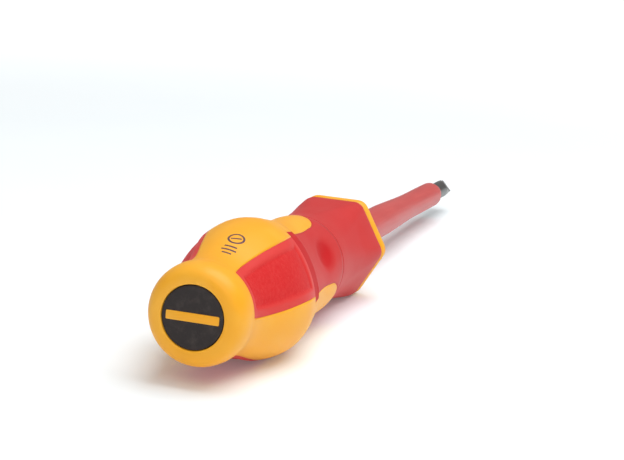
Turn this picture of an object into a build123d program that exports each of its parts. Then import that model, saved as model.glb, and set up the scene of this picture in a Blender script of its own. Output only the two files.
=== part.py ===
"""Insulated slotted screwdriver with a 125 mm blade, made as the separate pieces of its handle and blade.

The tool lies along X with its tip at +X and +Z up. Its centre line is AXIS_HEIGHT above Z = 0, where
the belly is lowest, and the origin is under the middle of the whole tool. A station is a
distance along the tool from the end of the handle. A clock angle is measured from the top, clockwise
as seen from the handle's end. The guard has a flat at every 60 degrees from 0. The yellow strips stand
at 0, 120 and 240 and the red panels at 60, 180 and 300, all turned on by BELLY_TURN.
"""

import os
from math import cos, radians, sin

from build123d import *

os.makedirs("parts", exist_ok=True)

# Whole tool
HANDLE_LENGTH = 110.0  # handle's end to the guard's front face
BLADE_REACH = 125.0  # guard's front face to the tip
AXIS_HEIGHT = 16.25  # centre line above the belly's lowest line
START = -(HANDLE_LENGTH + BLADE_REACH) / 2  # X of station 0

# Clock angles
BELLY_TURN = 2.0  # of the three-lobed part of the handle against the guard
STRIP_CLOCKS = [BELLY_TURN + clock for clock in (0, 120, 240)]
PANEL_CLOCKS = [BELLY_TURN + clock for clock in (60, 180, 300)]
BLADE_CLOCK = 138.0  # the way the tip's width points

# Belly, as (station, radius at the strips, radius at the panels)
CAP_STATIONS = [(0.0, 8.6, 8.6), (0.5, 10.4, 10.4), (1.7, 11.7, 11.7), (3.8, 12.5, 12.5)]
BELLY_STATIONS = [
    (6.5, 12.65, 12.65),
    (11.0, 12.3, 12.2),
    (15.0, 13.1, 12.6),
    (22.0, 15.7, 14.6),
    (29.0, 17.7, 16.3),
    (35.0, 18.4, 16.7),
    (40.5, 17.7, 16.1),
]
BAND_STATIONS = [(40.5, 17.4, 15.8), (47.5, 16.2, 14.7)]
WAIST_STATIONS = [
    (47.5, 15.65, 14.15),
    (53.0, 14.9, 13.1),
    (60.0, 14.3, 12.2),
    (67.0, 14.1, 12.0),
    (73.0, 13.5, 12.5),
    (76.0, 12.9, 12.9),
]
BELLY_END = 40.5
WAIST_END = 76.0
OUTLINE_POINTS = 12

# Guard, as (station, half the width across flats, corner radius)
GUARD_STATIONS = [(76.0, 12.9, 12.5), (84.0, 12.5, 11.6), (93.0, 12.6, 8.6), (100.0, 13.1, 5.2), (104.0, 13.3, 3.4)]
GUARD_FLAT = 13.3
GUARD_CORNER = 3.4
RIM_STATION = 105.9
RIM_ROUNDING = 0.5

# Soft panels in the belly: half widths of the window, and the sunken field inside its rim
PANEL_REAR = 8.0
PANEL_FRONT = 43.0  # past the belly's end, so that the panels reach the waist
PANEL_FIELD_FRONT = 38.8
PANEL_REAR_HALF = 5.8
PANEL_MIDDLE_HALF = 7.6
PANEL_FRONT_HALF = 8.1
PANEL_MIDDLE = 24.0
PANEL_CORNER = 0.8
PANEL_RIM = 1.9
PANEL_SINK = 0.45
UNDER_PANELS = [(6.0, 10.4), (20.0, 12.2), (32.0, 14.2), (46.0, 12.6)]  # (station, radius)

# Tongues of the handle body that show through the waist
TONGUE_ROOT_HALF = 7.0
TONGUE_HALF = 5.5
TONGUE_STRAIGHT_END = 65.0
TONGUE_END = 73.0

# Finger dimples in the waist
DIMPLE_STATION = 66.0
DIMPLE_BALL = 20.0
DIMPLE_FLOOR = 11.15  # radius at the deepest point

# Inside the handle
SLEEVE_RADIUS = 10.3  # handle body under the waist and the guard
CORE_FLAT = 6.6  # inner core, half the width across flats
CORE_CORNER = 1.5
CORE_START = 3.0
CORE_END = 98.0

# End disc and its slot symbol
DISC_RADIUS = 7.75
DISC_POCKET_RADIUS = 7.9
DISC_FACE = 0.25
DISC_EDGE = 0.2
SYMBOL_LENGTH = 13.3
SYMBOL_WIDTH = 2.15
SYMBOL_DEPTH = 1.2
SYMBOL_PROUD = 0.1
SYMBOL_CORNER = 0.3

# Blade
ROD_RADIUS = 2.75
TANG_START = 38.0
TANG_CHAMFER = 0.8
EAR_STATIONS = (52.0, 78.0)
EAR_LENGTH = 10.0
EAR_SPAN = 8.6
EAR_THICKNESS = 2.4
TIP_WIDTH = 4.5
TIP_THICKNESS = 1.0
TIP_GROUND_LENGTH = 9.0
TIP_HOLLOW = 0.35
TIP_SHOULDER_START = 7.0
TIP_SHOULDER_END = 3.5

# Insulation sleeve on the blade
SLEEVE_BASE_RADIUS = 4.75
SLEEVE_RADIUS_FRONT = 4.0
SLEEVE_BASE_END = 157.0
SLEEVE_TAPER_END = 182.0
SLEEVE_CONE_START = 213.5
SLEEVE_END = 217.5
SLEEVE_END_RADIUS = 2.95


def station(x):
    """Plane square to the tool at a station, with its own x along +Y and its own y up."""
    return Plane(origin=(START + x, 0, AXIS_HEIGHT), x_dir=(0, 1, 0), z_dir=(1, 0, 0))


def side_plane(clock):
    """Plane through the centre line: its own x is the station, its own y runs across, out at a clock angle."""
    out = (0, -sin(radians(clock)), cos(radians(clock)))
    return Plane(origin=(START, 0, AXIS_HEIGHT), x_dir=(1, 0, 0), z_dir=out)


AXIAL = Plane(origin=(START, 0, AXIS_HEIGHT), x_dir=(1, 0, 0), z_dir=(0, -1, 0))
CENTRE_LINE = Axis((START, 0, AXIS_HEIGHT), (1, 0, 0))


def lobed_points(lobe, flat):
    """Points of a three-lobed outline, whose radius swings between the strips and the panels."""
    middle = (lobe + flat) / 2
    swing = (lobe - flat) / 2
    points = []
    for step in range(OUTLINE_POINTS):
        clock = radians(BELLY_TURN + step * 360 / OUTLINE_POINTS)
        radius = middle + swing * cos(3 * (clock - radians(BELLY_TURN)))
        points.append((-radius * sin(clock), radius * cos(clock)))
    return points


def lobed_loft(stations, ruled=False):
    """Solid through three-lobed outlines."""
    with BuildPart() as solid:
        for x, lobe, flat in stations:
            with BuildSketch(station(x)):
                with BuildLine():
                    Spline(*lobed_points(lobe, flat), periodic=True)
                make_face()
        loft(ruled=ruled)
    return solid.part


def bar(radius, x_from, x_to):
    """Round bar on the centre line between two stations."""
    with BuildPart() as solid:
        with BuildSketch(station(x_from)):
            Circle(radius)
        extrude(amount=x_to - x_from)
    return solid.part


def panel_window(clock, inset, front):
    """Prism through a panel's four-cornered outline, drawn in by an inset, up to a front station."""
    rear = PANEL_REAR + inset
    with BuildPart() as prism:
        with BuildSketch(side_plane(clock)) as outline:
            with BuildLine():
                upper = Spline(
                    (rear, PANEL_REAR_HALF - inset),
                    (PANEL_MIDDLE, PANEL_MIDDLE_HALF - inset),
                    (front, PANEL_FRONT_HALF - inset),
                )
                lower = mirror(upper, about=Plane.XZ)
                Line(upper @ 0, (rear, -PANEL_REAR_HALF + inset))
                Line(upper @ 1, (front, -PANEL_FRONT_HALF + inset))
            make_face()
            fillet(outline.vertices(), PANEL_CORNER + inset)
        extrude(amount=2 * AXIS_HEIGHT)
    return prism.part


def tongue_window(clock):
    """Prism through a tongue's outline: tapered sides and a rounded front end."""
    with BuildPart() as prism:
        with BuildSketch(side_plane(clock)):
            with BuildLine():
                Polyline(
                    (TONGUE_STRAIGHT_END, TONGUE_HALF),
                    (BELLY_END, TONGUE_ROOT_HALF),
                    (BELLY_END, -TONGUE_ROOT_HALF),
                    (TONGUE_STRAIGHT_END, -TONGUE_HALF),
                )
                EllipticalCenterArc(
                    center=(TONGUE_STRAIGHT_END, 0),
                    x_radius=TONGUE_END - TONGUE_STRAIGHT_END,
                    y_radius=TONGUE_HALF,
                    start_angle=-90,
                    arc_size=180,
                )
            make_face()
        extrude(amount=2 * AXIS_HEIGHT)
    return prism.part


def rounded_hexagon_bar(flat, corner, x_from, x_to):
    """Six-sided bar with a flat on top and rounded corners."""
    with BuildPart() as solid:
        with BuildSketch(station(x_from)) as outline:
            RegularPolygon(radius=flat, side_count=6, major_radius=False)
            fillet(outline.vertices(), corner)
        extrude(amount=x_to - x_from)
    return solid.part


# Outer shapes that the pieces share
belly_shape = lobed_loft(CAP_STATIONS + BELLY_STATIONS)
waist_shape = lobed_loft(BAND_STATIONS, ruled=True) + lobed_loft(WAIST_STATIONS)
sleeve_bar = bar(SLEEVE_RADIUS, BELLY_END, RIM_STATION)
core_bar = rounded_hexagon_bar(CORE_FLAT, CORE_CORNER, CORE_START, CORE_END)
tongue_prisms = [tongue_window(clock) for clock in STRIP_CLOCKS]

with BuildPart() as sunken_belly:
    sunk = [(x, lobe - PANEL_SINK, flat - PANEL_SINK) for x, lobe, flat in BELLY_STATIONS]
    add(lobed_loft(sunk))

with BuildPart() as under_panels:
    with BuildSketch(AXIAL):
        with BuildLine():
            under = Spline(*UNDER_PANELS)
            Polyline(under @ 1, (UNDER_PANELS[-1][0], 0), (UNDER_PANELS[0][0], 0), under @ 0)
        make_face()
    revolve(axis=CENTRE_LINE)

# Blade: round rod, two pairs of pressed ears on its tang, and a hollow-ground slotted tip
with BuildPart() as blade:
    with BuildSketch(station(TANG_START)):
        Circle(ROD_RADIUS)
    extrude(amount=HANDLE_LENGTH + BLADE_REACH - TANG_START)
    chamfer(blade.faces().sort_by(Axis.X)[0].edges(), TANG_CHAMFER)
    for ear_station in EAR_STATIONS:
        with BuildSketch(station(ear_station)):
            RectangleRounded(EAR_SPAN, EAR_THICKNESS, EAR_THICKNESS * 0.3)
        extrude(amount=EAR_LENGTH)
    tip = HANDLE_LENGTH + BLADE_REACH
    with BuildSketch(side_plane(BLADE_CLOCK)):
        with BuildLine():
            face = ThreePointArc(
                (tip - TIP_GROUND_LENGTH, ROD_RADIUS),
                (tip - TIP_GROUND_LENGTH / 2, (ROD_RADIUS + TIP_THICKNESS / 2) / 2 - TIP_HOLLOW),
                (tip, TIP_THICKNESS / 2),
            )
            Polyline(face @ 1, (tip, 2 * ROD_RADIUS), (tip - TIP_GROUND_LENGTH, 2 * ROD_RADIUS), face @ 0)
        make_face()
        mirror(about=Plane.XZ)
    extrude(amount=2 * ROD_RADIUS, both=True, mode=Mode.SUBTRACT)
    with BuildSketch(side_plane(BLADE_CLOCK + 90)):
        with BuildLine():
            Polyline(
                (tip - TIP_SHOULDER_START, ROD_RADIUS),
                (tip - TIP_SHOULDER_END, TIP_WIDTH / 2),
                (tip, TIP_WIDTH / 2),
                (tip, 2 * ROD_RADIUS),
                (tip - TIP_SHOULDER_START, 2 * ROD_RADIUS),
                close=True,
            )
        make_face()
        mirror(about=Plane.XZ)
    extrude(amount=2 * ROD_RADIUS, both=True, mode=Mode.SUBTRACT)

# Insulation sleeve moulded on the blade, thicker where it leaves the handle
with BuildPart() as blade_insulation:
    with BuildSketch(AXIAL):
        Polygon(
            (CORE_END, ROD_RADIUS),
            (CORE_END, SLEEVE_BASE_RADIUS),
            (SLEEVE_BASE_END, SLEEVE_BASE_RADIUS),
            (SLEEVE_TAPER_END, SLEEVE_RADIUS_FRONT),
            (SLEEVE_CONE_START, SLEEVE_RADIUS_FRONT),
            (SLEEVE_END, SLEEVE_END_RADIUS),
            (SLEEVE_END, ROD_RADIUS),
            align=None,
        )
    revolve(axis=CENTRE_LINE)

# Inner core moulded round the tang
with BuildPart() as inner_core:
    add(core_bar)
    add(blade.part, mode=Mode.SUBTRACT)

# Handle body: end cap, strips, tongues, the sleeve under the soft grips, and the hexagonal front rim
with BuildPart() as handle_body:
    add(belly_shape)
    for clock in PANEL_CLOCKS:
        add(panel_window(clock, 0, PANEL_FRONT) - under_panels.part, mode=Mode.SUBTRACT)
    add(sleeve_bar)
    for prism in tongue_prisms:
        add(waist_shape & prism)
    add(rounded_hexagon_bar(GUARD_FLAT, GUARD_CORNER, RIM_STATION, HANDLE_LENGTH))
    fillet(handle_body.faces().sort_by(Axis.X)[-1].edges(), RIM_ROUNDING)
    add(bar(DISC_POCKET_RADIUS, 0, CORE_START), mode=Mode.SUBTRACT)
    add(core_bar, mode=Mode.SUBTRACT)
    add(bar(SLEEVE_BASE_RADIUS, CORE_END, HANDLE_LENGTH), mode=Mode.SUBTRACT)

# Soft panels, each with a sunken field inside a plain rim
grip_panels = []
for clock in PANEL_CLOCKS:
    with BuildPart() as grip_panel:
        add(belly_shape & panel_window(clock, 0, PANEL_FRONT))
        add(under_panels.part, mode=Mode.SUBTRACT)
        add(panel_window(clock, PANEL_RIM, PANEL_FIELD_FRONT) - sunken_belly.part, mode=Mode.SUBTRACT)
    grip_panels.append(grip_panel)

# Front grip round the waist, with a finger dimple in line with each panel
with BuildPart() as front_grip:
    add(waist_shape)
    add(sleeve_bar, mode=Mode.SUBTRACT)
    for prism in tongue_prisms:
        add(prism, mode=Mode.SUBTRACT)
    for clock in PANEL_CLOCKS:
        ball_plane = side_plane(clock).offset(DIMPLE_FLOOR + DIMPLE_BALL)
        with Locations(ball_plane * Location((DIMPLE_STATION, 0, 0))):
            Sphere(DIMPLE_BALL, mode=Mode.SUBTRACT)

# Guard: grows from a round neck to a rounded hexagon
with BuildPart() as guard:
    for x, flat, corner in GUARD_STATIONS:
        with BuildSketch(station(x)) as guard_outline:
            RegularPolygon(radius=flat, side_count=6, major_radius=False)
            fillet(guard_outline.vertices(), corner)
    loft()
    add(rounded_hexagon_bar(GUARD_FLAT, GUARD_CORNER, GUARD_STATIONS[-1][0], RIM_STATION))
    add(sleeve_bar, mode=Mode.SUBTRACT)

# End disc and the raised bar that says the tip is slotted
with BuildPart() as slot_symbol:
    with BuildSketch(station(DISC_FACE - SYMBOL_PROUD)):
        Rectangle(SYMBOL_LENGTH, SYMBOL_WIDTH)
    extrude(amount=SYMBOL_DEPTH + SYMBOL_PROUD)
    fillet(slot_symbol.edges().filter_by(Axis.X), SYMBOL_CORNER)
    chamfer(slot_symbol.faces().sort_by(Axis.X)[0].edges(), SYMBOL_PROUD)

with BuildPart() as end_disc:
    add(bar(DISC_RADIUS, DISC_FACE, CORE_START))
    chamfer(end_disc.faces().sort_by(Axis.X)[0].edges(), DISC_EDGE)
    add(slot_symbol.part, mode=Mode.SUBTRACT)

PIECES = {
    "blade": blade,
    "blade_insulation": blade_insulation,
    "inner_core": inner_core,
    "handle_body": handle_body,
    "grip_panel_right": grip_panels[0],
    "grip_panel_bottom": grip_panels[1],
    "grip_panel_left": grip_panels[2],
    "front_grip": front_grip,
    "guard": guard,
    "end_disc": end_disc,
    "slot_symbol": slot_symbol,
}
for piece_name, piece in PIECES.items():
    piece.part.label = piece_name
    export_step(piece.part, f"parts/{piece_name}.step")
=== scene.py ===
"""Looks of an insulated slotted screwdriver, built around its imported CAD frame.

The tool lies along X with its tip at +X. A station is a distance in millimetres from the end of the
handle. A clock angle, in degrees, is measured from the top, clockwise as seen from the handle's end. The
guard has a flat at every 60 degrees from 0. The yellow ribs stand at 0, 120 and 240 and the soft panels at
60, 180 and 300, all turned on a little. Shapes are worked out in millimetres and meshes are in metres.
"""

from __future__ import annotations

import logging
from dataclasses import dataclass
from enum import Enum
from math import asin, atan, atan2, cos, degrees, pi, radians, sin, sqrt, tan
from typing import Callable, Iterable, Sequence, Union

import bmesh
import bpy
from mathutils import Matrix, Vector

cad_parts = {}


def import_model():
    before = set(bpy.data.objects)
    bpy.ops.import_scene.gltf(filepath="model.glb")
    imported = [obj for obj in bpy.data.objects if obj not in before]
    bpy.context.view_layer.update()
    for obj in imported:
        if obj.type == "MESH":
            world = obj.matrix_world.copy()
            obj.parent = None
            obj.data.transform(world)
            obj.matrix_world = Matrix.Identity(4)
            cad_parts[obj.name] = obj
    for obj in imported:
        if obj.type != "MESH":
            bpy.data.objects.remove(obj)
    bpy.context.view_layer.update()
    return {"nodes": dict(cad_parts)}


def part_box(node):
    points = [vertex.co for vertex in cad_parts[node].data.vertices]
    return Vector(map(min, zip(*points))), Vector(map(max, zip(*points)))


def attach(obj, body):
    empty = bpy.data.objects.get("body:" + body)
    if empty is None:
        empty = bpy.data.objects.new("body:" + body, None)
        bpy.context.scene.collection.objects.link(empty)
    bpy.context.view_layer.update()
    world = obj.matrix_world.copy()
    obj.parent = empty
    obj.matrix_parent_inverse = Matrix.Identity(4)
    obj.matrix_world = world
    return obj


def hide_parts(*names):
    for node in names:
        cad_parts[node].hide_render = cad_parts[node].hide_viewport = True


LOG = logging.getLogger("screwdriver")
BODY = "root"
MM = 0.001
MERGE = 2e-6
HAIR = 0.001  # millimetres between two rings that make a step
FULL_TURN = 360.0
THIRD_TURN = 120.0
SIXTH_TURN = 60.0
HALF_FLAT = 30.0  # clock angle from the middle of a hexagon's flat to its corner

RadiusRule = Callable[[float, float], float]
Profile = Sequence[tuple[float, RadiusRule]]
Colour = tuple[float, float, float]


class Strip(Enum):
    """Clock angles of the yellow ribs, before the belly's turn."""

    TOP = 0.0
    LOWER_RIGHT = 120.0
    LOWER_LEFT = 240.0


class Side(Enum):
    """Clock angles of the soft panels, before the belly's turn."""

    RIGHT = 60.0
    BOTTOM = 180.0
    LEFT = 300.0


# ---------------------------------------------------------------------------------------------- shape


def ease(value: float) -> float:
    """Turns 0 to 1 into a soft step from 0 to 1."""
    held = min(max(value, 0.0), 1.0)
    return held * held * (3.0 - 2.0 * held)


def spread(first: float, last: float, steps: int) -> list[float]:
    """Evenly spaced values.

    Args:
        first: The first value.
        last: The last value.
        steps: How many steps lie between them.

    Returns:
        The values, with both ends.
    """
    return [first + (last - first) * step / steps for step in range(steps + 1)]


def quarter_round(radius: float, steps: int) -> list[tuple[float, float]]:
    """Points of a rounded edge, from the side to the end face.

    Args:
        radius: Radius of the rounding.
        steps: How many steps it takes.

    Returns:
        For each point its distance from the end face and its inset from the side.
    """
    turns = [radians(turn) for turn in spread(0.0, 90.0, steps)]
    return [(radius * (1 - sin(turn)), radius * (1 - cos(turn))) for turn in turns]


def level(radius: float) -> RadiusRule:
    """Rule for a ring of one radius all the way round."""
    return lambda station, clock: radius


@dataclass(frozen=True)
class Curve:
    """A smooth curve through a few points, flat beyond its ends."""

    points: tuple[tuple[float, float], ...]

    def slope(self, index: int) -> float:
        """Slope of the curve at one of its points."""
        before = self.points[max(index - 1, 0)]
        after = self.points[min(index + 1, len(self.points) - 1)]
        return (after[1] - before[1]) / (after[0] - before[0])

    def at(self, place: float) -> float:
        """Height of the curve.

        Args:
            place: Where along the curve.

        Returns:
            The curve's value there.
        """
        if place <= self.points[0][0]:
            return self.points[0][1]
        for index in range(len(self.points) - 1):
            (x0, y0), (x1, y1) = self.points[index], self.points[index + 1]
            if place <= x1:
                span = x1 - x0
                t = (place - x0) / span
                rise = y1 - y0
                start = self.slope(index) * span
                end = self.slope(index + 1) * span
                return y0 + t * (start + t * (3 * rise - 2 * start - end + t * (start + end - 2 * rise)))
        return self.points[-1][1]


def hexagon_radius(flat: float, corner: float, clock: float) -> float:
    """Radius of a rounded hexagon that has a flat on top.

    Args:
        flat: Half the width across flats.
        corner: Radius of the rounded corners.
        clock: Clock angle to look along.

    Returns:
        The distance from the centre line to the outline.
    """
    off_flat = radians(abs((clock + HALF_FLAT) % SIXTH_TURN - HALF_FLAT))
    half = radians(HALF_FLAT)
    straight = (flat - corner) * tan(half)
    if tan(off_flat) * flat <= straight:
        return flat / cos(off_flat)
    centre = (flat - corner) / cos(half)
    turn = half - off_flat
    return centre * cos(turn) + sqrt(max(corner**2 - (centre * sin(turn)) ** 2, 0.0))


@dataclass(frozen=True)
class HandleForm:
    """Outer form of the handle: a round cap, a three-lobed belly and waist, and a hexagonal guard."""

    start: float
    axis: float
    turn: float = 2.0
    cap_length: float = 6.5
    cap_face: float = 8.6
    cap_radius: float = 12.65
    cap_fullness: float = 2.4
    belly_end: float = 40.5
    band_end: float = 47.5
    waist_end: float = 76.0
    rim_start: float = 105.9
    length: float = 110.0
    sleeve: float = 10.3
    belly_lobes: Curve = Curve(
        ((6.5, 12.65), (11.0, 12.3), (15.0, 13.1), (22.0, 15.7), (29.0, 17.7), (35.0, 18.4), (40.5, 17.7))
    )
    belly_flats: Curve = Curve(
        ((6.5, 12.65), (11.0, 12.2), (15.0, 12.6), (22.0, 14.6), (29.0, 16.3), (35.0, 16.7), (40.5, 16.1))
    )
    band_lobes: Curve = Curve(((40.5, 17.4), (47.5, 16.2)))
    band_flats: Curve = Curve(((40.5, 15.8), (47.5, 14.7)))
    waist_lobes: Curve = Curve(
        ((47.5, 15.65), (53.0, 14.9), (60.0, 14.3), (67.0, 14.1), (73.0, 13.5), (76.0, 12.9))
    )
    waist_flats: Curve = Curve(
        ((47.5, 14.15), (53.0, 13.1), (60.0, 12.2), (67.0, 12.0), (73.0, 12.5), (76.0, 12.9))
    )
    guard_flats: Curve = Curve(
        ((76.0, 12.9), (84.0, 12.5), (93.0, 12.6), (100.0, 13.1), (104.0, 13.3), (105.9, 13.3))
    )
    guard_corners: Curve = Curve(
        ((76.0, 12.7), (84.0, 11.6), (93.0, 8.6), (100.0, 5.2), (104.0, 3.4), (105.9, 3.4))
    )
    under_panels: Curve = Curve(((6.0, 10.4), (20.0, 12.2), (32.0, 14.2), (46.0, 12.6)))

    def lobed(self, lobe: float, flat: float, clock: float) -> float:
        """Radius of a three-lobed outline at a clock angle."""
        return (lobe + flat) / 2 + (lobe - flat) / 2 * cos(radians(3 * (clock - self.turn)))

    def outer(self, station: float, clock: float) -> float:
        """Radius of the handle's skin from its cap to the end of its waist.

        Args:
            station: Distance from the handle's end.
            clock: Clock angle.

        Returns:
            The radius there.
        """
        if station < self.cap_length:
            left = (1 - max(station, 0.0) / self.cap_length) ** self.cap_fullness
            return self.cap_face + (self.cap_radius - self.cap_face) * (1 - left) ** (1 / self.cap_fullness)
        if station <= self.belly_end:
            return self.lobed(self.belly_lobes.at(station), self.belly_flats.at(station), clock)
        if station < self.band_end:
            return self.lobed(self.band_lobes.at(station), self.band_flats.at(station), clock)
        return self.lobed(self.waist_lobes.at(station), self.waist_flats.at(station), clock)

    def guard(self, station: float, clock: float) -> float:
        """Radius of the guard's skin."""
        return hexagon_radius(self.guard_flats.at(station), self.guard_corners.at(station), clock)

    def floor(self, station: float, clock: float) -> float:
        """Radius of the handle body under its soft parts."""
        if station <= self.belly_end:
            return self.under_panels.at(station)
        return self.sleeve

    def place(self, station: float, clock: float, radius: float) -> Vector:
        """Point in metres.

        Args:
            station: Distance from the handle's end.
            clock: Clock angle.
            radius: Distance from the centre line.

        Returns:
            The point in the frame.
        """
        turn = radians(clock)
        return Vector((self.start + station, -radius * sin(turn), self.axis + radius * cos(turn))) * MM

    def read(self, point: Vector) -> tuple[float, float]:
        """Station and clock angle of a point in metres."""
        return point.x / MM - self.start, degrees(atan2(-point.y, point.z - self.axis * MM))


# ------------------------------------------------------------------------------------------ mesh tools


@dataclass(frozen=True)
class Ring:
    """One ring of a turned shape, with its radius on the ribs and off them."""

    station: float
    on_rib: RadiusRule
    off_rib: RadiusRule

    @classmethod
    def even(cls, station: float, rule: RadiusRule) -> Ring:
        """A ring with the same rule all the way round."""
        return cls(station, rule, rule)


@dataclass(frozen=True)
class Column:
    """One line of points along the handle, set out from the middle of a rib."""

    rib: float
    hand: int
    across: float
    beyond: float = 0.0
    raised: bool = True


def spun_tube(rows: int, columns: int) -> bmesh.types.BMesh:
    """Spins a straight line of points into a plain tube, one unit long for each row and one unit in radius.

    Args:
        rows: Points along the tube.
        columns: Points round it.

    Returns:
        The tube, open at both ends.
    """
    bm = bmesh.new()
    last = bmesh.ops.create_vert(bm, co=(0.0, 0.0, 1.0))["vert"][0]
    for row in range(1, rows):
        grown = bmesh.ops.extrude_vert_indiv(bm, verts=[last])["verts"]
        bmesh.ops.translate(bm, verts=grown, vec=(1.0, 0.0, 0.0))
        last = grown[0]
    bmesh.ops.spin(
        bm,
        geom=bm.verts[:] + bm.edges[:],
        cent=(0, 0, 0),
        axis=(1, 0, 0),
        angle=2 * pi,
        steps=columns,
        use_merge=True,
    )
    return bm


def tube_address(point: Vector, columns: int) -> tuple[int, int]:
    """Row and column of a point on a plain spun tube."""
    turn = atan2(-point.y, point.z) / (2 * pi) * columns
    return round(point.x), round(turn) % columns


def turned(form: HandleForm, profile: Profile, columns: int = 96) -> bmesh.types.BMesh:
    """Turns a closed or open profile round the centre line.

    Args:
        form: The handle's form, which places the points.
        profile: Stations with their radius rules, in order.
        columns: Points round the piece.

    Returns:
        The shape, with its doubles merged.
    """
    bm = spun_tube(len(profile), columns)
    for vert in bm.verts:
        row, column = tube_address(vert.co, columns)
        station, rule = profile[row]
        clock = column * FULL_TURN / columns
        vert.co = form.place(station, clock, rule(station, clock))
    tidy(bm)
    return bm


def grow_skin(bm: bmesh.types.BMesh) -> list[bmesh.types.BMVert]:
    """Gives an open sheet a second skin and walls, and returns the new skin's points."""
    grown = bmesh.ops.extrude_face_region(bm, geom=bm.faces[:])["geom"]
    return [item for item in grown if isinstance(item, bmesh.types.BMVert)]


def tidy(bm: bmesh.types.BMesh) -> None:
    """Merges doubles, drops what has no area and turns the faces outwards."""
    bmesh.ops.remove_doubles(bm, verts=bm.verts, dist=MERGE)
    bmesh.ops.dissolve_degenerate(bm, edges=bm.edges, dist=MERGE)
    loose = [vert for vert in bm.verts if not vert.link_faces]
    bmesh.ops.delete(bm, geom=loose, context="VERTS")
    bmesh.ops.recalc_face_normals(bm, faces=bm.faces)


def soften(bm: bmesh.types.BMesh, width: float, angle: float = 40.0, segments: int = 2) -> None:
    """Bevels a shape's sharp edges.

    Args:
        bm: The shape.
        width: Width of the bevel in millimetres.
        angle: Edges sharper than this many degrees are beveled.
        segments: Faces across each bevel.
    """
    limit = radians(angle)
    sharp = [edge for edge in bm.edges if edge.is_manifold and edge.calc_face_angle(0.0) > limit]
    bmesh.ops.bevel(
        bm,
        geom=sharp,
        offset=width * MM,
        offset_type="OFFSET",
        affect="EDGES",
        segments=segments,
        profile=0.5,
        material=-1,
        clamp_overlap=True,
    )
    bmesh.ops.remove_doubles(bm, verts=bm.verts, dist=MERGE)
    bmesh.ops.recalc_face_normals(bm, faces=bm.faces)


def finished(
    name: str,
    bm: bmesh.types.BMesh,
    material: bpy.types.Material,
    nodes: Iterable[str],
) -> bpy.types.Object:
    """Makes an object of a shape and ties it to the frame.

    Args:
        name: The piece's name.
        bm: Its shape, which is freed.
        material: Its finish.
        nodes: CAD nodes that it stands for.

    Returns:
        The object.
    """
    mesh = bpy.data.meshes.new(name)
    bm.to_mesh(mesh)
    bm.free()
    mesh.polygons.foreach_set("use_smooth", [True] * len(mesh.polygons))
    mesh.materials.append(material)
    piece = bpy.data.objects.new(name, mesh)
    bpy.context.scene.collection.objects.link(piece)
    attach(piece, BODY)
    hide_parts(*nodes)
    LOG.info("%s: %d faces", name, len(mesh.polygons))
    return piece


# ------------------------------------------------------------------------------------------- finishes

Value = Union["Expr", float]


class Expr:
    """A shader value whose arithmetic adds Math nodes."""

    def __init__(self, shader: "Shader", socket: bpy.types.NodeSocket) -> None:
        """Wraps a socket of a shader's tree."""
        self.shader = shader
        self.socket = socket

    def _math(self, operation: str, first: Value, second: Value) -> "Expr":
        """One Math node on two values."""
        return self.shader.math(operation, first, second)

    def __add__(self, other: Value) -> "Expr":
        """Adds."""
        return self._math("ADD", self, other)

    def __radd__(self, other: Value) -> "Expr":
        """Adds, reflected."""
        return self._math("ADD", other, self)

    def __sub__(self, other: Value) -> "Expr":
        """Takes away."""
        return self._math("SUBTRACT", self, other)

    def __rsub__(self, other: Value) -> "Expr":
        """Takes away, reflected."""
        return self._math("SUBTRACT", other, self)

    def __mul__(self, other: Value) -> "Expr":
        """Multiplies."""
        return self._math("MULTIPLY", self, other)

    def __rmul__(self, other: Value) -> "Expr":
        """Multiplies, reflected."""
        return self._math("MULTIPLY", other, self)

    def __lt__(self, other: Value) -> "Expr":
        """1 where this is less."""
        return self._math("LESS_THAN", self, other)

    def __gt__(self, other: Value) -> "Expr":
        """1 where this is more."""
        return self._math("GREATER_THAN", self, other)

    def __abs__(self) -> "Expr":
        """Size without sign."""
        return self._math("ABSOLUTE", self, 0.0)


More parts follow.
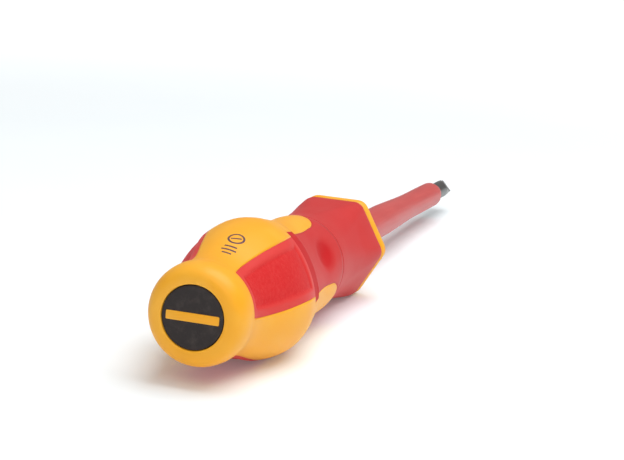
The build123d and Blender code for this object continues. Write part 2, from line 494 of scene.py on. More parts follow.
class Shader:
    """A node material under construction."""

    def __init__(self, name: str) -> None:
        """Starts a material with one Principled shader."""
        self.material = bpy.data.materials.new(name)
        self.material.use_nodes = True
        self.tree = self.material.node_tree
        self.tree.nodes.clear()
        self.surface = self.node("ShaderNodeBsdfPrincipled")
        output = self.node("ShaderNodeOutputMaterial")
        self.tree.links.new(self.surface.outputs["BSDF"], output.inputs["Surface"])
        self.coordinates = self.node("ShaderNodeTexCoord").outputs["Object"]

    def node(self, kind: str, settings: dict | None = None, values: dict | None = None) -> bpy.types.Node:
        """Adds a node.

        Args:
            kind: Type of the node.
            settings: Properties of the node, set first.
            values: Values or links of its inputs, by name or number.

        Returns:
            The node.
        """
        node = self.tree.nodes.new(kind)
        for key, setting in (settings or {}).items():
            setattr(node, key, setting)
        for key, value in (values or {}).items():
            self.feed(node.inputs[key], value)
        return node

    def feed(self, target: bpy.types.NodeSocket, value: object) -> None:
        """Links or sets an input."""
        if isinstance(value, Expr):
            value = value.socket
        if isinstance(value, bpy.types.NodeSocket):
            self.tree.links.new(value, target)
        else:
            target.default_value = value

    def math(self, operation: str, first: Value, second: Value = 0.0) -> Expr:
        """One Math node.

        Args:
            operation: Its operation.
            first: First value.
            second: Second value.

        Returns:
            The result.
        """
        node = self.node("ShaderNodeMath", {"operation": operation}, {0: first, 1: second})
        return Expr(self, node.outputs[0])

    def step(self, value: Expr, low: float, high: float) -> Expr:
        """Soft step from 0 to 1 as a value goes from low to high."""
        node = self.node(
            "ShaderNodeMapRange",
            {"interpolation_type": "SMOOTHSTEP"},
            {"Value": value, "From Min": low, "From Max": high},
        )
        return Expr(self, node.outputs["Result"])

    def axis(self, name: str) -> Expr:
        """One coordinate of the piece, in metres."""
        split = self.node("ShaderNodeSeparateXYZ", None, {0: self.coordinates})
        return Expr(self, split.outputs[name])

    def noise(self, size: float, detail: float = 2.0, roughness: float = 0.5) -> Expr:
        """Cloudy noise.

        Args:
            size: Size of its features in millimetres.
            detail: Octaves.
            roughness: Strength of the finer octaves.

        Returns:
            The noise, 0 to 1.
        """
        inputs = {"Vector": self.coordinates, "Scale": 1 / (size * MM)}
        inputs.update(Detail=detail, Roughness=roughness)
        return Expr(self, self.node("ShaderNodeTexNoise", None, inputs).outputs["Fac"])

    def stretched_noise(self, scale: Sequence[float], detail: float = 2.0) -> Expr:
        """Noise drawn out along an axis, for marks of grinding or drawing.

        Args:
            scale: Features per metre along each axis.
            detail: Octaves.

        Returns:
            The noise, 0 to 1.
        """
        mapping = self.node("ShaderNodeMapping", None, {"Vector": self.coordinates, "Scale": scale})
        inputs = {"Vector": mapping.outputs[0], "Scale": 1.0, "Detail": detail}
        return Expr(self, self.node("ShaderNodeTexNoise", None, inputs).outputs["Fac"])

    def cells(self, size: float) -> Expr:
        """Distance to the nearest of scattered points, for a pebbled grain."""
        inputs = {"Vector": self.coordinates, "Scale": 1 / (size * MM)}
        node = self.node("ShaderNodeTexVoronoi", {"feature": "SMOOTH_F1"}, inputs)
        return Expr(self, node.outputs["Distance"])

    def attribute(self, name: str) -> Expr:
        """A value stored on the piece's own points."""
        return Expr(self, self.node("ShaderNodeAttribute", {"attribute_name": name}).outputs["Fac"])

    def blend(self, factor: Value, first: object, second: object) -> bpy.types.NodeSocket:
        """Mixes two colours.

        Args:
            factor: Share of the second.
            first: A colour or a link.
            second: A colour or a link.

        Returns:
            The mixed colour.
        """
        node = self.node("ShaderNodeMix", {"data_type": "RGBA"})
        self.feed(node.inputs[0], factor)
        for index, colour in ((6, first), (7, second)):
            self.feed(node.inputs[index], (*colour, 1.0) if isinstance(colour, tuple) else colour)
        return node.outputs[2]

    def bump(self, height: Expr, depth: float) -> bpy.types.NodeSocket:
        """Bump from a height.

        Args:
            height: The height, 0 to 1.
            depth: Depth in millimetres of a height of 1.

        Returns:
            The bumped normal.
        """
        inputs = {"Height": height, "Distance": depth * MM, "Strength": 1.0}
        return self.node("ShaderNodeBump", None, inputs).outputs["Normal"]

    def dress(self, **values: object) -> bpy.types.Material:
        """Feeds the Principled shader, with spaces in its names written as underscores."""
        for key, value in values.items():
            name = key.replace("_", " ")
            if isinstance(value, tuple) and len(value) == 3:
                value = (*value, 1.0)
            self.feed(self.surface.inputs[name], value)
        return self.material


@dataclass(frozen=True)
class Polypropylene:
    """Yellow hard plastic with a soft gloss, faint mould bloom and a fine surface texture."""

    name: str
    colour: Colour = (0.93, 0.40, 0.012)
    bloom: Colour = (0.94, 0.45, 0.035)
    ink: Colour = (0.10, 0.045, 0.06)
    gloss: float = 0.36
    mark_station: float = 21.8
    mark_across: float = -1.7
    mark_radius: float = 1.9
    mark_line: float = 0.27
    mark_slant: float = 0.35
    mark_slot_gap: float = 0.6
    mark_dashes: tuple[tuple[float, float], ...] = ((3.5, 1.6), (4.9, 1.9), (6.3, 1.2))
    mark_wear: float = 0.72

    def make(self, form: HandleForm | None = None) -> bpy.types.Material:
        """Builds the material.

        Args:
            form: The handle's form, where the printed mark is wanted.

        Returns:
            The material.
        """
        shader = Shader(self.name)
        cloud = shader.noise(14.0, detail=3.0)
        speck = shader.noise(0.5, detail=1.0)
        colour = shader.blend(shader.step(cloud, 0.4, 0.75), self.colour, self.bloom)
        rough = self.gloss + 0.10 * cloud + 0.05 * speck
        if form is not None:
            mark = self.printed_mark(shader, form)
            colour = shader.blend(mark, colour, self.ink)
            rough = rough + 0.12 * mark
        peel = shader.noise(1.1, detail=3.0) * 0.7 + speck * 0.3
        return shader.dress(
            Base_Color=colour,
            Roughness=rough,
            Normal=shader.bump(peel, 0.012),
            Specular_IOR_Level=0.38,
        )

    def printed_mark(self, shader: Shader, form: HandleForm) -> Expr:
        """A plain printed sign on the top rib: a screw head seen from above and three short lines.

        Args:
            shader: The material's shader.
            form: The handle's form.

        Returns:
            The mark's mask.
        """
        along = (shader.axis("X") - (form.start + self.mark_station) * MM) * (1 / MM)
        across = shader.axis("Y") * (1 / MM)
        above = shader.axis("Z") > form.axis * MM
        line = self.mark_line
        head = across - self.mark_across
        away = shader.math("SQRT", along * along + head * head)
        ring = abs(away - self.mark_radius) < line
        slot = (abs(along + head * self.mark_slant) < line) * (away < self.mark_radius - self.mark_slot_gap)
        mask = shader.math("MAXIMUM", ring, slot)
        for place, half in self.mark_dashes:
            dash = (abs(along + place) < line) * (abs(head) < half)
            mask = shader.math("MAXIMUM", mask, dash)
        return mask * above * (shader.noise(0.25, detail=1.0) < self.mark_wear)


@dataclass(frozen=True)
class Elastomer:
    """Soft red grip, powdery at grazing angles, with a grain where its grain attribute says so and painted
    shade, in its deep red, where its deep attribute says so.
    """

    name: str
    colour: Colour
    # deep: the darker red of the grained field, and also the colour of the painted shade
    deep: Colour
    grain_depth: float = 0.03
    grain_size: float = 0.42
    powder: float = 0.04
    shine: float = 0.25

    def make(self) -> bpy.types.Material:
        """Builds the material.

        Returns:
            The material.
        """
        shader = Shader(self.name)
        grain = shader.attribute("grain")
        # deep marks painted shade: where it is 1 the red turns fully to the deep red, for the shade that
        # falls in the band and the dimples
        deep = shader.attribute("deep")
        cloud = shader.noise(9.0, detail=4.0, roughness=0.6)
        fine = shader.noise(0.35, detail=2.0)
        pebbles = shader.cells(self.grain_size)
        plain = shader.blend(cloud * 0.35, self.colour, self.deep)
        mottle = shader.step(shader.noise(0.9, detail=3.0, roughness=0.7), 0.35, 0.75)
        field = shader.blend(fine * 0.25 + mottle * 0.4, self.deep, self.colour)
        smooth_skin = fine * 0.25 + shader.noise(2.2) * 0.75
        height = smooth_skin * (1 - grain) * 0.35 + pebbles * grain
        return shader.dress(
            # Painted shade: the deep attribute blends the colour towards the deep red
            Base_Color=shader.blend(deep, shader.blend(grain, plain, field), self.deep),
            Roughness=0.46 + 0.12 * cloud + 0.12 * grain + 0.26 * deep,
            Normal=shader.bump(height, self.grain_depth),
            Sheen_Weight=self.powder,
            Sheen_Roughness=0.45,
            Sheen_Tint=(1.0, 0.82, 0.80),
            Specular_IOR_Level=self.shine,
        )


@dataclass(frozen=True)
class SleevePlastic:
    """Smooth red insulation with faint streaks along the blade."""

    name: str = "sleeve_plastic"
    colour: Colour = (0.55, 0.055, 0.05)
    worn: Colour = (0.62, 0.09, 0.08)

    def make(self) -> bpy.types.Material:
        """Builds the material.

        Returns:
            The material.
        """
        shader = Shader(self.name)
        streaks = shader.stretched_noise((60.0, 900.0, 900.0), detail=3.0)
        cloud = shader.noise(12.0, detail=3.0)
        ripple = shader.stretched_noise((250.0, 1400.0, 1400.0))
        wear = shader.step(streaks * 0.5 + cloud * 0.5, 0.35, 0.75)
        return shader.dress(
            Base_Color=shader.blend(wear, self.colour, self.worn),
            Roughness=0.30 + 0.14 * cloud + 0.08 * streaks,
            Normal=shader.bump(ripple, 0.01),
            Sheen_Weight=0.08,
            Sheen_Roughness=0.4,
            IOR=1.5,
        )


@dataclass(frozen=True)
class BladeSteel:
    """Darkened satin steel, ground bright on the faces and edges of its tip."""

    name: str = "blade_steel"
    dark: Colour = (0.16, 0.155, 0.15)
    bright: Colour = (0.62, 0.61, 0.60)
    ground_length: float = 9.0
    worn_from: float = 0.4
    worn_to: float = 1.6
    worn_waver: float = 0.6

    def make(self, tip: float) -> bpy.types.Material:
        """Builds the material.

        Args:
            tip: X of the blade's end, in metres.

        Returns:
            The material.
        """
        shader = Shader(self.name)
        from_tip = tip - shader.axis("X")
        ground = 1 - shader.step(from_tip, self.ground_length * MM * 0.9, self.ground_length * MM)
        waver = shader.noise(0.6) * (self.worn_waver * MM)
        edge = 1 - shader.step(from_tip + waver, self.worn_from * MM, self.worn_to * MM)
        scratches = shader.stretched_noise((5200.0, 700.0, 700.0), detail=3.0)
        drawn = shader.stretched_noise((150.0, 5000.0, 5000.0), detail=2.0)
        marks = scratches * ground + drawn * (1 - ground)
        shine = ground * 0.35 + edge * 0.5 + marks * 0.15
        return shader.dress(
            Base_Color=shader.blend(shine, self.dark, self.bright),
            Metallic=1.0,
            Roughness=0.28 + 0.22 * marks,
            Normal=shader.bump(marks, 0.006),
        )


@dataclass(frozen=True)
class DiscPlastic:
    """Near-black plastic with a fine spark-eroded texture and light dust."""

    name: str
    colour: Colour = (0.015, 0.008, 0.007)
    dust: Colour = (0.050, 0.034, 0.030)

    def make(self) -> bpy.types.Material:
        """Builds the material.

        Returns:
            The material.
        """
        shader = Shader(self.name)
        erosion = shader.noise(0.22, detail=3.0, roughness=0.7)
        dust = shader.step(shader.noise(3.0, detail=4.0, roughness=0.7), 0.42, 0.8)
        return shader.dress(
            Base_Color=shader.blend(dust * 0.7, self.colour, self.dust),
            Roughness=0.48 + 0.2 * erosion,
            Normal=shader.bump(erosion, 0.02),
            IOR=1.47,
        )


# ----------------------------------------------------------------------------------------- the handle


@dataclass(frozen=True)
class RibLayout:
    """Outline of the three ribs: strips between the panels that run on as round-ended tongues."""

    form: HandleForm
    rear: float = 8.0
    window: Curve = Curve(((8.0, 5.8), (24.0, 7.6), (43.0, 8.1)))
    tongue_root_half: float = 7.0
    tongue_half: float = 5.5
    tongue_straight_end: float = 65.0
    tongue_end: float = 73.0
    tongue_clear: float = 2.0
    inside: int = 14
    outside: int = 15

    def half_angle(self, station: float, half: float, middle: float) -> float:
        """Clock angle that a half width takes on the handle's skin, seen from a middle clock angle."""
        angle = 0.0
        for _ in range(4):
            angle = degrees(asin(half / self.form.outer(station, self.form.turn + middle + angle)))
        return angle

    def edge(self, station: float) -> float:
        """Clock angle from the middle of a rib to its edge.

        Args:
            station: Distance from the handle's end.

        Returns:
            The angle, or an even share where there is no rib.
        """
        if station > self.tongue_end + self.tongue_clear:
            return HALF_FLAT
        belly = min(max(station, self.rear), self.form.belly_end)
        strip = SIXTH_TURN - self.half_angle(belly, self.window.at(belly), Side.RIGHT.value)
        if station <= self.form.belly_end:
            return strip
        share = (station - self.form.belly_end) / (self.tongue_straight_end - self.form.belly_end)
        half = self.tongue_root_half + (self.tongue_half - self.tongue_root_half) * min(share, 1.0)
        return self.half_angle(min(station, self.tongue_end), half, 0.0)

    def columns(self, walled: bool) -> list[Column]:
        """Lines of points once round the handle.

        Args:
            walled: Whether each rib's edge has a second, lower line for its wall.

        Returns:
            The columns in clock order.
        """
        first_low = 0 if walled else 1
        columns: list[Column] = []
        for strip in Strip:
            rib = strip.value + self.form.turn
            following = rib + THIRD_TURN
            onto = spread(0.0, 1.0, self.inside)
            off = spread(0.0, 1.0, self.outside)[first_low:]
            columns += [Column(rib, 1, share) for share in onto]
            columns += [Column(rib, 1, 1.0, share, False) for share in off]
            columns += [Column(following, -1, 1.0, share, False) for share in reversed(off[:-1])]
            columns += [Column(following, -1, share) for share in reversed(onto[1:])]
        return columns

    def spot(self, station: float, column: Column) -> tuple[float, float]:
        """Where a column crosses a ring, with the ring bent round the tongue's rounded end.

        Args:
            station: The ring's station before it is bent.
            column: The column.

        Returns:
            Station and clock angle.
        """
        edge = self.edge(station)
        run = self.tongue_end - self.tongue_straight_end
        a = (station - self.tongue_straight_end) / run
        shift = 0.0
        swing = 0.0
        if a > 0:
            near = min(a, 1.0)
            past = max(station - self.tongue_end, 0.0) / (self.form.waist_end - self.tongue_end)
            fade = (1.0 - min(past, 1.0)) * (1.0 - column.beyond) ** 2
            shift = near * (sqrt(1 - column.across**2 / 2) - 1) * run * fade
            swing = column.across * (sqrt(1 - near**2 / 2) - 1) * edge * fade
        angle = column.across * edge + column.beyond * (SIXTH_TURN - edge) + swing
        return station + shift, column.rib + column.hand * angle


@dataclass(frozen=True)
class HandleBody:
    """Yellow body: cap, ribs, tongues, the sleeve under the soft parts and the rim before the guard."""

    form: HandleForm
    ribs: RibLayout
    pocket_radius: float = 7.9
    pocket_floor: float = 3.0
    lip: float = 0.18
    core_flat: float = 6.6
    core_corner: float = 1.5
    core_end: float = 98.0
    bore: float = 4.75
    bore_edge: float = 0.25
    front_rings: tuple[float, ...] = (9.5, 7.0)
    rim_flat: float = 13.3
    rim_corner: float = 3.4
    rim_rounding: float = 0.5
    seam: float = 0.12

    def rim(self, inset: float) -> RadiusRule:
        """Rule for the rim's hexagon, drawn in by an inset."""
        return lambda station, clock: hexagon_radius(self.rim_flat - inset, self.rim_corner - inset, clock)

    def core(self, station: float, clock: float) -> float:
        """Radius of the hexagonal hole for the core."""
        return hexagon_radius(self.core_flat, self.core_corner, clock)

    def rings(self) -> list[Ring]:
        """The body's closed profile, from the end pocket over the skin and back through the core's hole."""
        form, ribs = self.form, self.ribs
        rings = [Ring.even(self.pocket_floor, self.core)]
        rings += [Ring.even(self.pocket_floor, level(self.pocket_radius))]
        rings += [Ring.even(self.lip, level(self.pocket_radius))]
        rings += [Ring.even(self.lip * 0.3, level(self.pocket_radius + self.lip * 0.3))]
        rings += [Ring.even(0.0, level(self.pocket_radius + self.lip))]
        for turn in spread(0.0, 90.0, 14):
            rings.append(Ring.even(form.cap_length * (1 - cos(radians(turn))), form.outer))
        rings += [Ring.even(station, form.outer) for station in spread(form.cap_length, ribs.rear, 6)[1:]]
        stations = spread(ribs.rear, form.belly_end, 46)
        stations += spread(form.belly_end, form.band_end - HAIR, 5)[1:]
        stations += spread(form.band_end, ribs.tongue_straight_end, 26)
        stations += spread(ribs.tongue_straight_end, ribs.tongue_end, 12)[1:]
        step = Ring(form.belly_end + HAIR, form.outer, level(form.sleeve))
        for station in stations:
            rings.append(Ring(station, form.outer, form.floor))
            if station == form.belly_end:
                rings.append(step)
        sleeve = level(form.sleeve)
        rings += [Ring.even(ribs.tongue_end, sleeve)]
        rings += [Ring.even(station, sleeve) for station in spread(form.waist_end, form.rim_start, 8)[1:]]
        rings += [Ring.even(form.rim_start, self.rim(0.0))]
        for behind, inset in quarter_round(self.rim_rounding, 6):
            rings.append(Ring.even(form.length - behind, self.rim(inset)))
        bore = level(self.bore)
        face = (*self.front_rings, self.bore + self.bore_edge)
        rings += [Ring.even(form.length, level(radius)) for radius in face]
        rings += [Ring.even(form.length - self.bore_edge, bore), Ring.even(self.core_end, bore)]
        rings += [Ring.even(station, self.core) for station in spread(self.core_end, self.pocket_floor, 8)]
        return rings

    def build(self, material: bpy.types.Material) -> bpy.types.Object:
        """Models the body.

        Args:
            material: Its finish.

        Returns:
            The piece.
        """
        rings = self.rings()
        columns = self.ribs.columns(walled=True)
        bm = spun_tube(len(rings), len(columns))
        for vert in bm.verts:
            row, index = tube_address(vert.co, len(columns))
            ring, column = rings[row], columns[index]
            station, clock = self.ribs.spot(ring.station, column)
            rule = ring.on_rib if column.raised else ring.off_rib
            vert.co = self.form.place(station, clock, rule(station, clock))
        tidy(bm)
        soften(bm, self.seam)
        return finished("handle_shell", bm, material, ["handle_body"])


@dataclass(frozen=True)
class SoftPanel:
    """One soft panel let into the belly, with a plain rim round a sunken, grained field."""

    form: HandleForm
    ribs: RibLayout
    side: Side
    rim: float = 1.7
    slope: float = 1.3
    sink: float = 0.45
    clearance: float = 0.03
    seam: float = 0.14
    rows: int = 84
    across: int = 48

    @property
    def middle(self) -> float:
        """Clock angle of the panel's middle."""
        return self.side.value + self.form.turn

    def edge_distance(self, station: float, clock: float) -> float:
        """Distance in millimetres from the panel's outline, with the corners rounded off."""
        radius = self.form.outer(station, clock)
        edge = SIXTH_TURN - self.ribs.edge(station)
        off = abs((clock - self.middle + FULL_TURN / 2) % FULL_TURN - FULL_TURN / 2)
        beside = radians(edge - off) * radius
        along = min(station - self.ribs.rear, self.form.belly_end - station)
        corner = self.rim + self.slope
        gap_beside = max(corner - beside, 0.0)
        gap_along = max(corner - along, 0.0)
        return max(corner - sqrt(gap_beside**2 + gap_along**2), 0.0) if gap_beside or gap_along else corner

    def field(self, station: float, clock: float) -> float:
        """1 in the sunken field, 0 on the rim."""
        return ease((self.edge_distance(station, clock) - self.rim) / self.slope)

    def build(self, material: bpy.types.Material) -> bpy.types.Object:
        """Models the panel.

        Args:
            material: Its finish.

        Returns:
            The piece.
        """
        form = self.form
        bm = bmesh.new()
        grain = bm.verts.layers.float.new("grain")
        bmesh.ops.create_grid(bm, x_segments=self.rows, y_segments=self.across, size=1.0)
        rear, front = self.ribs.rear + self.clearance, form.belly_end - self.clearance
        for vert in bm.verts:
            station = rear + (front - rear) * (vert.co.x + 1) / 2
            edge = SIXTH_TURN - self.ribs.edge(station) - degrees(self.clearance / form.outer(station, 0.0))
            clock = self.middle + edge * vert.co.y
            vert.co = form.place(station, clock, form.floor(station, clock) + self.clearance)
        for vert in grow_skin(bm):
            station, clock = form.read(vert.co)
            field = self.field(station, clock)
            vert[grain] = field
            vert.co = form.place(station, clock, form.outer(station, clock) - self.sink * field)
        tidy(bm)
        soften(bm, self.seam)
        side = self.side.name.lower()
        return finished(f"soft_panel_{side}", bm, material, [f"grip_panel_{side}"])


@dataclass(frozen=True)
class WaistGrip:
    """Soft grip round the waist: a band behind, openings for the tongues, and three finger dimples, with
    painted shade on the band and in the dimples.
    """

    form: HandleForm
    ribs: RibLayout
    dimple_station: float = 66.0
    dimple_length: float = 7.2
    dimple_half: float = 5.8
    dimple_depth: float = 0.9
    # how fast the painted shade deepens towards a dimple's middle
    dimple_shade: float = 2.2
    clearance: float = 0.03
    seam: float = 0.16

    def dimple(self, station: float, clock: float) -> float:
        """1 in the middle of a dimple, 0 outside it."""
        off = (clock - self.form.turn) % THIRD_TURN - SIXTH_TURN
        across = radians(off) * self.form.outer(station, clock) / self.dimple_half
        along = (station - self.dimple_station) / self.dimple_length
        return ease(1.0 - sqrt(along**2 + across**2))

    def build(self, material: bpy.types.Material) -> bpy.types.Object:
        """Models the grip.

        Args:
            material: Its finish.

        Returns:
            The piece.
        """
        form, ribs = self.form, self.ribs
        stations = spread(form.belly_end + self.clearance, form.band_end - HAIR, 6)
        stations += spread(form.band_end, ribs.tongue_straight_end, 40)
        stations += spread(ribs.tongue_straight_end, ribs.tongue_end, 16)[1:]
        opened = len(stations) - 1
        stations += spread(ribs.tongue_end, form.waist_end, 4)[1:]
        columns = ribs.columns(walled=False)
        bm = spun_tube(len(stations), len(columns))
        bm.verts.layers.float.new("grain")
        # mask of painted shade, read by the elastomer's deep attribute
        deep = bm.verts.layers.float.new("deep")
        inside = []
        for face in bm.faces:
            spots = [tube_address(vert.co, len(columns)) for vert in face.verts]
            if all(row <= opened and columns[column].beyond == 0.0 for row, column in spots):
                inside.append(face)
        bmesh.ops.delete(bm, geom=inside, context="FACES")
        for vert in bm.verts:
            row, index = tube_address(vert.co, len(columns))
            station, clock = ribs.spot(stations[row], columns[index])
            vert.co = form.place(station, clock, form.sleeve + self.clearance)
        for vert in grow_skin(bm):
            station, clock = form.read(vert.co)
            dimple = self.dimple(station, clock)
            # Painted shade: the whole band is set to the deep red, and each dimple turns deeper red towards
            # its middle
            vert[deep] = 1.0 if station < form.band_end else min(dimple * self.dimple_shade, 1.0)
            vert.co = form.place(station, clock, form.outer(station, clock) - self.dimple_depth * dimple)
        tidy(bm)
        soften(bm, self.seam)
        return finished("waist_grip", bm, material, ["front_grip"])


@dataclass(frozen=True)
class GuardFlare:
    """Soft guard that grows from a round neck to a rounded hexagon."""

    form: HandleForm
    clearance: float = 0.03
    groove: float = 0.28
    front_edge: float = 0.16
    columns: int = 192

    def lowered(self, depth: float) -> RadiusRule:
        """Rule for the guard's skin, lowered by a depth."""
        return lambda station, clock: self.form.guard(station, clock) - depth

    def profile(self) -> Profile:
        """The guard's closed profile."""
        form = self.form
        inner = level(form.sleeve + self.clearance)
        rear, front = form.waist_end + self.clearance, form.rim_start - self.clearance
        profile: list[tuple[float, RadiusRule]] = [(rear, inner)]
        for turn in spread(0.0, 90.0, 3):
            depth = self.groove * cos(radians(turn))
            profile.append((rear + self.groove * sin(radians(turn)), self.lowered(depth)))
        skin = spread(rear + self.groove, front - self.front_edge, 60)[1:]
        profile += [(station, form.guard) for station in skin]
        profile += [(front, self.lowered(self.front_edge)), (front, inner)]
        profile += [(station, inner) for station in spread(front, rear, 10)[1:]]
        return profile

    def build(self, material: bpy.types.Material) -> bpy.types.Object:
        """Models the guard.

        Args:
            material: Its finish.

        Returns:
            The piece.
        """
        bm = turned(self.form, self.profile(), self.columns)
        bm.verts.layers.float.new("grain")
        return finished("guard_flare", bm, material, ["guard"])


@dataclass(frozen=True)
class EndBadge:
    """Black disc in the cap and the yellow bar that says the tip is slotted."""

    form: HandleForm
    radius: float = 7.75
    face: float = 0.25
    floor: float = 3.0
    edge: float = 0.3
    bar_length: float = 13.3
    bar_width: float = 2.15
    bar_depth: float = 1.2
    bar_proud: float = 0.1
    bar_corner: float = 0.3
    dish: float = 0.08

    def build_disc(self, material: bpy.types.Material) -> bpy.types.Object:
        """Models the disc, rounded at its edge and faintly dished.

        Args:
            material: Its finish.

        Returns:
            The piece.
        """
        profile = [(self.floor, level(0.0)), (self.floor, level(self.radius))]
        for behind, inset in quarter_round(self.edge, 4):
            profile.append((self.face + behind, level(self.radius - inset)))
        flat = self.radius - self.edge
        for share in (0.95, 0.85, 0.7, 0.5, 0.3, 0.12, 0.0):
            profile.append((self.face + self.dish * (1 - share**2), level(flat * share)))
        bm = turned(self.form, profile, 128)
        return finished("end_plug", bm, material, ["end_disc"])

    def build_bar(self, material: bpy.types.Material) -> bpy.types.Object:
        """Models the bar.

        Args:
            material: Its finish.

        Returns:
            The piece.
        """
        bm = bmesh.new()
        bmesh.ops.create_cube(bm, size=1.0)
        depth = self.bar_depth + self.bar_proud
        bmesh.ops.scale(bm, vec=(depth * MM, self.bar_length * MM, self.bar_width * MM), verts=bm.verts)
        centre = self.form.place(self.face - self.bar_proud + depth / 2, 0.0, 0.0)
        bmesh.ops.translate(bm, vec=centre, verts=bm.verts)
        upright = [edge for edge in bm.edges if abs(edge.verts[0].co.x - edge.verts[1].co.x) > MM / 10]
        size = self.bar_corner * MM
        bmesh.ops.bevel(bm, geom=upright, offset=size, affect="EDGES", segments=4, profile=0.5, material=-1)
        soften(bm, 0.1, angle=60.0, segments=3)
        return finished("slot_bar", bm, material, ["slot_symbol"])


@dataclass(frozen=True)
class BladeSleeve:
    """Insulation moulded on the blade: thick, tapered, slim and coned."""

    form: HandleForm
    rear: float = 98.0
    bore: float = 2.76
    base: float = 4.73
    slim: float = 4.0
    base_end: float = 157.0
    taper_end: float = 182.0
    cone_start: float = 213.5
    end: float = 217.5
    end_radius: float = 2.95
    lip: float = 0.12
    blending: float = 3.0
    corner: float = 0.35

    def outline(self) -> Curve:
        """Radius along the sleeve, with its corners eased."""
        near = self.blending
        drop = (self.base - self.slim) * near / (self.taper_end - self.base_end)
        return Curve(
            (
                (self.rear, self.base),
                (self.base_end - near, self.base),
                (self.base_end + near, self.base - drop),
                (self.taper_end - near, self.slim + drop),
                (self.taper_end + near, self.slim),
                (self.cone_start - self.corner, self.slim),
                (self.cone_start + self.corner, self.slim - self.corner * 0.3),
                (self.end - self.lip, self.end_radius),
            )
        )

    def build(self, material: bpy.types.Material) -> bpy.types.Object:
        """Models the sleeve.

        Args:
            material: Its finish.

        Returns:
            The piece.
        """
        outline = self.outline()
        profile: list[tuple[float, RadiusRule]] = [(self.rear, level(self.bore))]
        for station in spread(self.rear, self.end - self.lip, 120):
            profile.append((station, level(outline.at(station))))
        for behind, inset in quarter_round(self.lip, 4)[1:]:
            profile.append((self.end - behind, level(self.end_radius - inset)))
        profile += [(station, level(self.bore)) for station in spread(self.end, self.rear, 20)]
        bm = turned(self.form, profile, 72)
        return finished("blade_sleeve", bm, material, ["blade_insulation"])


# --------------------------------------------------------------------------------------------- studio


@dataclass(frozen=True)
class AreaLight:
    """A soft square lamp aimed at a point."""

    name: str
    place: tuple[float, float, float]
    size: float
    power: float
    colour: Colour = (1.0, 1.0, 1.0)

    def build(self, target: Vector) -> None:
        """Hangs the lamp, with its place counted from the target, in metres."""
        lamp = bpy.data.lights.new(self.name, "AREA")
        lamp.size = self.size
        lamp.energy = self.power
        lamp.color = self.colour
        holder = bpy.data.objects.new(self.name, lamp)
        holder.location = target + Vector(self.place)
        holder.rotation_euler = (target - holder.location).to_track_quat("-Z", "Y").to_euler()
        bpy.context.scene.collection.objects.link(holder)


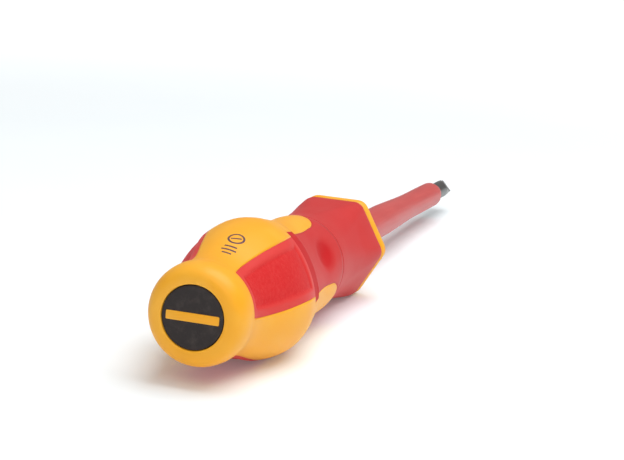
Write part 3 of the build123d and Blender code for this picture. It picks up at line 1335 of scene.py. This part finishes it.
@dataclass(frozen=True)
class Studio:
    """Pale floor under the resting tool, soft light, and the camera."""

    form: HandleForm
    floor_size: float = 6.0
    rest_drop: float = 13.3  # from the centre line to the guard's lower flat, in millimetres
    rest_station: float = 109.5
    belly_station: float = 34.5
    sag: float = 0.1
    camera_place: tuple[float, float, float] = (-413.4, -157.5, 104.9)
    heading: float = 17.48
    pitch: float = 10.53
    roll: float = 4.47
    lens: float = 113.25
    sensor: float = 36.0
    sky: float = 0.32
    floor_glow: float = 0.7
    glow_near: float = 0.16  # share of the glow round the tool, before it grows
    glow_from: float = 0.25
    glow_to: float = 0.8
    key: AreaLight = AreaLight("key_light", (0.04, -0.30, 1.0), 0.9, 10.2)
    fill: AreaLight = AreaLight("front_light", (-0.70, -0.30, 0.65), 0.6, 2.2)

    def build_floor(self) -> None:
        """Lays the floor so that the belly and the guard both rest on it."""
        rise = self.form.axis - self.rest_drop + self.sag
        slant = atan(rise / (self.rest_station - self.belly_station))
        bm = bmesh.new()
        bmesh.ops.create_grid(bm, x_segments=1, y_segments=1, size=self.floor_size / 2)
        turn = Matrix.Rotation(-slant, 4, "Y")
        foot = Vector((self.form.start + self.belly_station, 0.0, -self.sag)) * MM
        bmesh.ops.transform(bm, matrix=Matrix.Translation(foot) @ turn, verts=bm.verts)
        mesh = bpy.data.meshes.new("studio_floor")
        bm.to_mesh(mesh)
        bm.free()
        shader = Shader("floor_paper")
        tone = shader.blend(shader.noise(40.0, detail=2.0), (0.83, 0.88, 0.90), (0.85, 0.90, 0.92))
        along, across = shader.axis("X"), shader.axis("Y")
        away = shader.math("SQRT", along * along + across * across)
        beyond = shader.step(away, self.glow_from, self.glow_to)
        glow = shader.blend(beyond, (self.glow_near, self.glow_near, self.glow_near), (1.0, 1.0, 1.0))
        paper = shader.dress(
            Base_Color=tone,
            Roughness=0.9,
            Specular_IOR_Level=0.1,
            Emission_Color=glow,
            Emission_Strength=self.floor_glow,
        )
        mesh.materials.append(paper)
        floor = bpy.data.objects.new("studio_floor", mesh)
        bpy.context.scene.collection.objects.link(floor)

    def build_light(self) -> None:
        """Lights the set with a white sky and soft lamps."""
        world = bpy.data.worlds.new("studio_sky")
        world.use_nodes = True
        background = world.node_tree.nodes["Background"]
        background.inputs["Color"].default_value = (1.0, 1.0, 1.0, 1.0)
        background.inputs["Strength"].default_value = self.sky
        bpy.context.scene.world = world
        target = self.form.place(60.0, 0.0, 0.0)
        for lamp in (self.key, self.fill):
            lamp.build(target)

    def build_camera(self) -> None:
        """Sets the camera where it looks along the tool from behind its cap."""
        heading, pitch, roll = radians(self.heading), radians(self.pitch), radians(self.roll)
        forward = Vector((cos(pitch) * cos(heading), cos(pitch) * sin(heading), -sin(pitch)))
        level_right = Vector((sin(heading), -cos(heading), 0.0))
        level_up = level_right.cross(forward)
        right = level_right * cos(roll) + level_up * sin(roll)
        up = level_up * cos(roll) - level_right * sin(roll)
        camera = bpy.data.cameras.new("studio_camera")
        camera.lens = self.lens
        camera.sensor_width = self.sensor
        camera.clip_start = 0.01
        camera.clip_end = 20.0
        holder = bpy.data.objects.new("studio_camera", camera)
        turn = Matrix((right, up, -forward)).transposed().to_4x4()
        place = self.form.place(0.0, 0.0, 0.0) + Vector(self.camera_place) * MM
        holder.matrix_world = Matrix.Translation(place) @ turn
        bpy.context.scene.collection.objects.link(holder)
        bpy.context.scene.camera = holder

    def build(self) -> None:
        """Builds the whole set."""
        self.build_floor()
        self.build_light()
        self.build_camera()
        view = bpy.context.scene.view_settings
        view.view_transform = "Standard"
        view.look = "None"


def recover(node: bpy.types.Object, material: bpy.types.Material) -> None:
    """Gives a CAD piece its finish."""
    node.data.materials.clear()
    node.data.materials.append(material)
    for slot in node.material_slots:
        slot.material = material
    LOG.info("%s: kept from CAD", node.name)


def main() -> None:
    """Builds the screwdriver and its studio."""
    logging.basicConfig(level=logging.INFO, format="%(name)s %(message)s")
    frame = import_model()
    low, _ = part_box("handle_body")
    core_low, core_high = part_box("inner_core")
    form = HandleForm(start=low.x / MM, axis=(core_low.z + core_high.z) / 2 / MM)
    ribs = RibLayout(form)

    yellow = Polypropylene("handle_yellow")
    HandleBody(form, ribs).build(yellow.make(form))
    panel_red = Elastomer("panel_elastomer", (0.70, 0.050, 0.043), (0.61, 0.006, 0.008), grain_depth=0.08)
    panel_material = panel_red.make()
    for side in Side:
        SoftPanel(form, ribs, side).build(panel_material)
    # Its second colour, the deep red, also paints the shade on the band and in the dimples.
    grip_red = Elastomer("grip_elastomer", (0.60, 0.036, 0.034), (0.54, 0.003, 0.005), shine=0.3)
    grip_material = grip_red.make()
    WaistGrip(form, ribs).build(grip_material)
    GuardFlare(form).build(grip_material)
    badge = EndBadge(form)
    badge.build_disc(DiscPlastic("disc_plastic").make())
    badge.build_bar(Polypropylene("bar_yellow").make())
    BladeSleeve(form).build(SleevePlastic().make())
    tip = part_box("blade")[1].x
    recover(frame["nodes"]["blade"], BladeSteel().make(tip))
    recover(frame["nodes"]["inner_core"], DiscPlastic("core_plastic").make())
    Studio(form).build()


if __name__ == "__main__":
    main()
